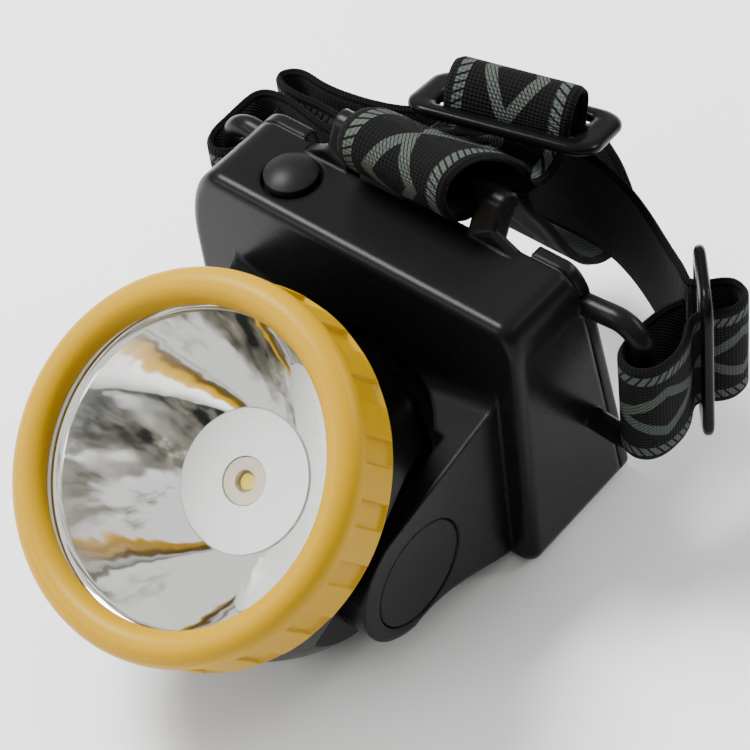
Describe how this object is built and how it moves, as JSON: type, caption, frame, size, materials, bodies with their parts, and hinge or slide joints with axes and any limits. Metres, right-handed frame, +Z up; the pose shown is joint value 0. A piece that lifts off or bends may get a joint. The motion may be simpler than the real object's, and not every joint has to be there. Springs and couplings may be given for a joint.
{
  "type": "cap lamp",
  "caption": "Cap lamp: round lamp head that tilts between two arms on a battery box, with a rubber push button, folded elastic headband, crown strap and sliding buckles.",
  "frame": {"origin": "middle of the footprint, on the surface the lamp stands on", "axes": "+X along the tilt pivot towards the wearer's left (the right-hand side seen from the front), -Y forwards, +Z up. Left and right in names are as seen from the front."},
  "size_m": [0.111, 0.1422, 0.0814],
  "materials": {
    "yellow_ring": "satin",
    "lens": "clear, polished",
    "white_gasket": "matt",
    "reflector": "polished",
    "matt_metal": "fine matt grain",
    "led_package": "satin",
    "phosphor": "matt",
    "metal_core": "satin",
    "heat_sink": "satin",
    "black_shell": "satin",
    "black_plastic": "satin",
    "steel": "zinc plated",
    "washer": "matt",
    "seal_rubber": "matt",
    "cell_wrap": "gloss",
    "nickel": "bright",
    "tray_plastic": "matt",
    "circuit_board": "satin",
    "chip_plastic": "matt",
    "button_rubber": "matt",
    "socket_plastic": "satin",
    "wire": "satin",
    "webbing": "woven",
    "buckle_plastic": "gloss"
  },
  "bodies": {
    "housing": {"front_housing": "black_plastic", "back_cover": "black_plastic", "cover_seal": "seal_rubber", "cover_screws": "steel", "pivot_screws": "steel", "friction_washers": "washer", "arm_caps": "black_plastic", "battery_cells": "cell_wrap", "battery_tabs": "nickel", "battery_tray": "tray_plastic", "control_board": "circuit_board", "board_parts": "chip_plastic", "switch_board": "circuit_board", "switch_body": "chip_plastic", "charge_socket": "socket_plastic", "lead_wires": "wire", "headband": "webbing", "crown_strap": "webbing", "crown_buckle": "buckle_plastic", "side_buckle": "buckle_plastic"},
    "lamp": {"head_shell": "black_shell", "reflector": "reflector", "reflector_disc": "matt_metal", "led_package": "led_package", "led_chip": "phosphor", "led_board": "metal_core", "heat_sink": "heat_sink", "lens_gasket": "white_gasket"},
    "bezel": {"bezel_ring": "yellow_ring", "lens": "lens"},
    "push_button": {"button": "button_rubber"}
  },
  "joints": [
    {"name": "head_tilt", "type": "hinge", "parent": "housing", "child": "lamp", "pos_m": [-0.00244, -0.01992, 0.0228], "axis": [1, 0, 0], "range_deg": [-4, 70]},
    {"name": "bezel_turn", "type": "hinge", "parent": "lamp", "child": "bezel", "pos_m": [-0.00244, -0.03957, 0.05056], "axis": [0, -0.592, 0.8059], "range_deg": [0, 90]},
    {"name": "button_press", "type": "slide", "parent": "housing", "child": "push_button", "axis": [0, 0, -1], "range_m": [0, 0.0012], "stiffness_N_per_m": 1500, "springref_m": -0.0003}
  ]
}
